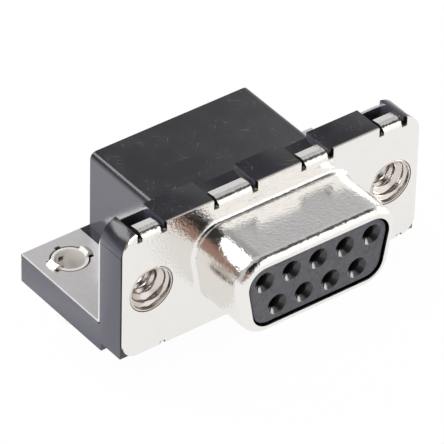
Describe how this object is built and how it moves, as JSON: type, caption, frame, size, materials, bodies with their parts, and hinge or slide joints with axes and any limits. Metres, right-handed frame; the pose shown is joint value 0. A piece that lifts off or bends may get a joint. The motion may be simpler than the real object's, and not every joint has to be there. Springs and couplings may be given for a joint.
{
  "type": "d-sub connector",
  "caption": "Right-angle through-hole D-shaped socket connector: drawn steel shell, threaded inserts, ground straps, board locks and bent contact tails.",
  "frame": {"origin": "centre of the D collar on the front face of the steel flange", "axes": "+X along the flange, +Y back over the board, away from the mating side, +Z away from the board"},
  "size_m": [0.0308, 0.0209, 0.0167],
  "materials": {
    "shell_plating": "bright tin plating over drawn steel",
    "strap_plating": "satin tin plating",
    "insert_plating": "bright nickel plating over turned steel",
    "lock_plating": "satin tin plating over spring brass",
    "housing_plastic": "black moulded plastic with a low sheen",
    "insulator_plastic": "dark grey moulded plastic",
    "contact_plating": "thin gold plating over brass, tinned tails"
  },
  "bodies": {
    "root": {"front_shell": "shell_plating", "front_insulator": "insulator_plastic", "housing": "housing_plastic", "tail_aligner": "housing_plastic", "ground_strap_left": "strap_plating", "ground_strap_right": "strap_plating", "threaded_insert_left": "insert_plating", "threaded_insert_right": "insert_plating", "board_lock_left": "lock_plating", "board_lock_right": "lock_plating", "contact_1": "contact_plating", "contact_2": "contact_plating", "contact_3": "contact_plating", "contact_4": "contact_plating", "contact_5": "contact_plating", "contact_6": "contact_plating", "contact_7": "contact_plating", "contact_8": "contact_plating", "contact_9": "contact_plating"}
  },
  "joints": []
}
